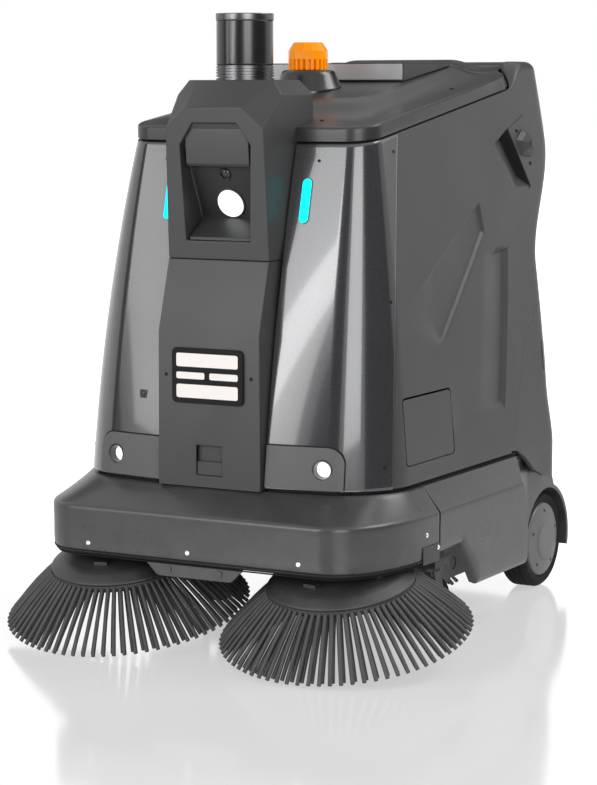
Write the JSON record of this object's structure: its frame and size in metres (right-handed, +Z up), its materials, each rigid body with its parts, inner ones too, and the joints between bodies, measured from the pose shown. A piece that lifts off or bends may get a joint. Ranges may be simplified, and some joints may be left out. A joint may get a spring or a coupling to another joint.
{
  "type": "robotic floor cleaner",
  "caption": "Self-driving floor sweeper with tapered graphite body, sensor head and ranging sensor, tilted side brushes, roller brush and slide-out hopper.",
  "frame": {"origin": "on the floor, at the middle of the overall box", "axes": "+Z up, front of the machine towards -Y, +X to the right of someone who looks at its front"},
  "size_m": [0.9058, 1.1284, 1.1359],
  "materials": {
    "graphite_gloss": "high gloss lacquer",
    "graphite_satin": "satin lacquer",
    "moulded_grey": "fine moulded grain",
    "dark_plastic": "matte",
    "black_plastic": "gloss",
    "rubber": "matte rubber",
    "seal_rubber": "matte rubber",
    "bristle": "round nylon strands",
    "hub_cap": "moulded",
    "painted_steel": "powder coat",
    "silver": "turned and ribbed",
    "white_light": "lit lens",
    "status_white": "diffuser",
    "cyan_light": "lit diffuser",
    "amber": "amber cap",
    "stop_red": "moulded"
  },
  "bodies": {
    "machine": {"chassis_frame": "painted_steel", "body_seal": "seal_rubber", "left_front_shell": "graphite_gloss", "right_front_shell": "graphite_gloss", "left_side_panel": "moulded_grey", "right_side_panel": "moulded_grey", "left_corner_plate": "moulded_grey", "right_corner_plate": "moulded_grey", "left_side_skirt": "moulded_grey", "right_side_skirt": "moulded_grey", "left_fender": "moulded_grey", "right_fender": "moulded_grey", "rear_shell": "moulded_grey", "spine_cover": "moulded_grey", "sensor_head": "moulded_grey", "front_bumper": "moulded_grey", "nose_plate": "moulded_grey", "brush_chamber": "moulded_grey", "control_box": "moulded_grey", "blower_housing": "moulded_grey", "top_lid": "graphite_satin", "console_housing": "graphite_satin", "touch_screen": "black_plastic", "beacon_base": "black_plastic", "camera_lens": "black_plastic", "ranger_window": "black_plastic", "battery_pack": "black_plastic", "roller_motor": "black_plastic", "beacon_lens": "amber", "head_lamp": "white_light", "left_headlight": "white_light", "right_headlight": "white_light", "left_light_bar": "cyan_light", "right_light_bar": "cyan_light", "ranger_base": "silver", "ranger_cap": "silver", "status_frame": "dark_plastic", "hatch_tray": "dark_plastic", "left_side_camera": "dark_plastic", "right_side_camera": "dark_plastic", "status_diffuser": "status_white"},
    "left_wheel": {"left_tyre": "rubber", "left_wheel_hub": "hub_cap"},
    "right_wheel": {"right_tyre": "rubber", "right_wheel_hub": "hub_cap"},
    "left_caster": {"left_caster_fork": "painted_steel"},
    "right_caster": {"right_caster_fork": "painted_steel"},
    "left_caster_roller": {"left_caster_wheel": "rubber"},
    "right_caster_roller": {"right_caster_wheel": "rubber"},
    "left_lift": {"left_brush_arm": "painted_steel"},
    "right_lift": {"right_brush_arm": "painted_steel"},
    "left_brush": {"left_brush_hub": "dark_plastic", "left_bristles": "bristle"},
    "right_brush": {"right_brush_hub": "dark_plastic", "right_bristles": "bristle"},
    "roller": {"roller_brush": "bristle"},
    "fan": {"fan_impeller": "dark_plastic"},
    "hopper": {"hopper": "dark_plastic"},
    "hatch": {"side_hatch": "moulded_grey"},
    "stop": {"stop_button": "stop_red"}
  },
  "joints": [
    {"name": "left_wheel_spin", "type": "hinge", "parent": "machine", "child": "left_wheel", "pos_m": [-0.243, 0.434, 0.097], "axis": [1, 0, 0], "continuous": true},
    {"name": "left_caster_swivel", "type": "hinge", "parent": "machine", "child": "left_caster", "pos_m": [-0.235, -0.03, 0.118], "axis": [0, 0, 1], "continuous": true},
    {"name": "left_caster_roll", "type": "hinge", "parent": "left_caster", "child": "left_caster_roller", "pos_m": [-0.235, -0.002, 0.045], "axis": [1, 0, 0], "continuous": true},
    {"name": "left_brush_lift", "type": "hinge", "parent": "machine", "child": "left_lift", "pos_m": [-0.2268, -0.2, 0.238], "axis": [-1, 0, 0], "range_deg": [0, 3]},
    {"name": "left_brush_spin", "type": "hinge", "parent": "left_lift", "child": "left_brush", "pos_m": [-0.2268, -0.34326, 0.05228], "axis": [0, -0.2164, 0.9763], "continuous": true},
    {"name": "right_wheel_spin", "type": "hinge", "parent": "machine", "child": "right_wheel", "pos_m": [0.243, 0.434, 0.097], "axis": [1, 0, 0], "continuous": true},
    {"name": "right_caster_swivel", "type": "hinge", "parent": "machine", "child": "right_caster", "pos_m": [0.235, -0.03, 0.118], "axis": [0, 0, 1], "continuous": true},
    {"name": "right_caster_roll", "type": "hinge", "parent": "right_caster", "child": "right_caster_roller", "pos_m": [0.235, -0.002, 0.045], "axis": [1, 0, 0], "continuous": true},
    {"name": "right_brush_lift", "type": "hinge", "parent": "machine", "child": "right_lift", "pos_m": [0.2268, -0.2, 0.238], "axis": [-1, 0, 0], "range_deg": [0, 3]},
    {"name": "right_brush_spin", "type": "hinge", "parent": "right_lift", "child": "right_brush", "pos_m": [0.2268, -0.34326, 0.05228], "axis": [0, -0.2164, 0.9763], "continuous": true},
    {"name": "roller_spin", "type": "hinge", "parent": "machine", "child": "roller", "pos_m": [0, 0.16, 0.0875], "axis": [1, 0, 0], "continuous": true},
    {"name": "fan_spin", "type": "hinge", "parent": "machine", "child": "fan", "pos_m": [0, 0.27, 0.35], "axis": [0, 0, 1], "continuous": true},
    {"name": "hopper_slide", "type": "slide", "parent": "machine", "child": "hopper", "axis": [0, 1, 0], "range_m": [0, 0.26]},
    {"name": "hatch_hinge", "type": "hinge", "parent": "machine", "child": "hatch", "pos_m": [0.31773, -0.091, 0.344], "axis": [-0.082, 0, 0.9966], "range_deg": [0, 100]},
    {"name": "stop_push", "type": "slide", "parent": "machine", "child": "stop", "axis": [0, -1, 0], "range_m": [0, 0.004], "stiffness_N_per_m": 1000, "springref_m": -0.001}
  ]
}
